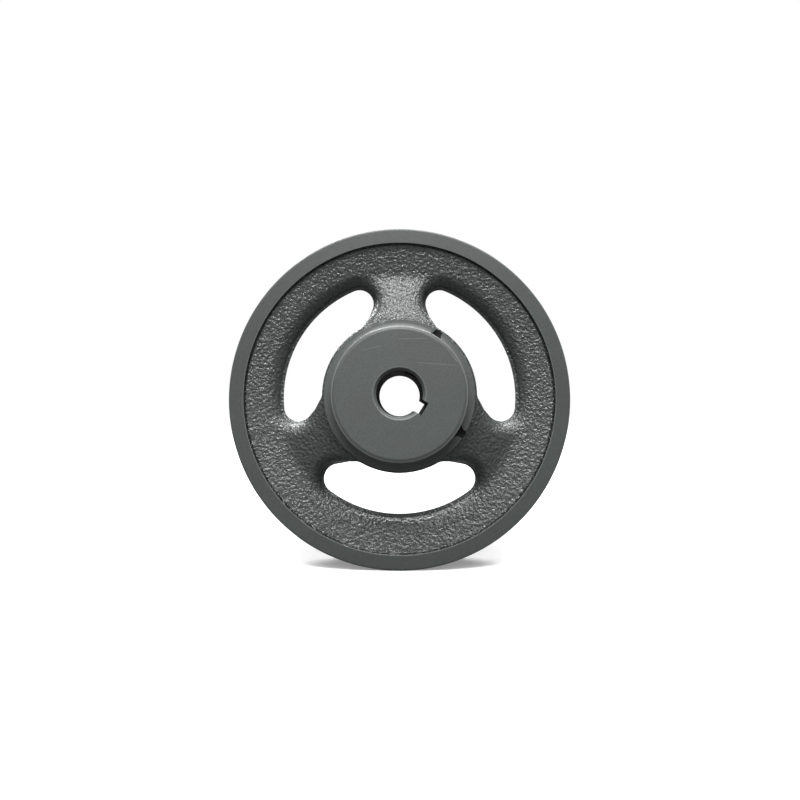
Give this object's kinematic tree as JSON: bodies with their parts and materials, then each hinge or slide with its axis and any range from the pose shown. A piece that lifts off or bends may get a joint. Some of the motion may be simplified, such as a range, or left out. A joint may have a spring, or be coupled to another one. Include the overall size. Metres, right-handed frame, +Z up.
{
  "type": "v belt pulley",
  "caption": "Cast-iron V belt pulley with a grooved rim, open arms, a long hub with a keyed bore, and set screws in the hub.",
  "frame": {"origin": "on the bore axis, midway between the two side faces of the rim", "axes": "Y along the bore with the long end of the hub towards -Y, +Z up through one arm, +X to the right seen from the hub's nose"},
  "size_m": [0.1258, 0.0329, 0.1258],
  "materials": {
    "coated_iron": "thin grey protective coat, satin on the turned faces and glossier over the rough cast skin",
    "black_steel": "black oxide, lightly oiled"
  },
  "bodies": {
    "sheave": {"sheave": "coated_iron"},
    "keyway_set_screw": {"keyway_set_screw": "black_steel"},
    "shaft_set_screw": {"shaft_set_screw": "black_steel"}
  },
  "joints": [
    {"name": "keyway_screw_travel", "type": "slide", "parent": "sheave", "child": "keyway_set_screw", "axis": [0.848, 0, -0.5299], "range_m": [-0.00127, 0.00635]},
    {"name": "shaft_screw_travel", "type": "slide", "parent": "sheave", "child": "shaft_set_screw", "axis": [0.5299, 0, 0.848], "range_m": [-0.00127, 0.00762]}
  ]
}
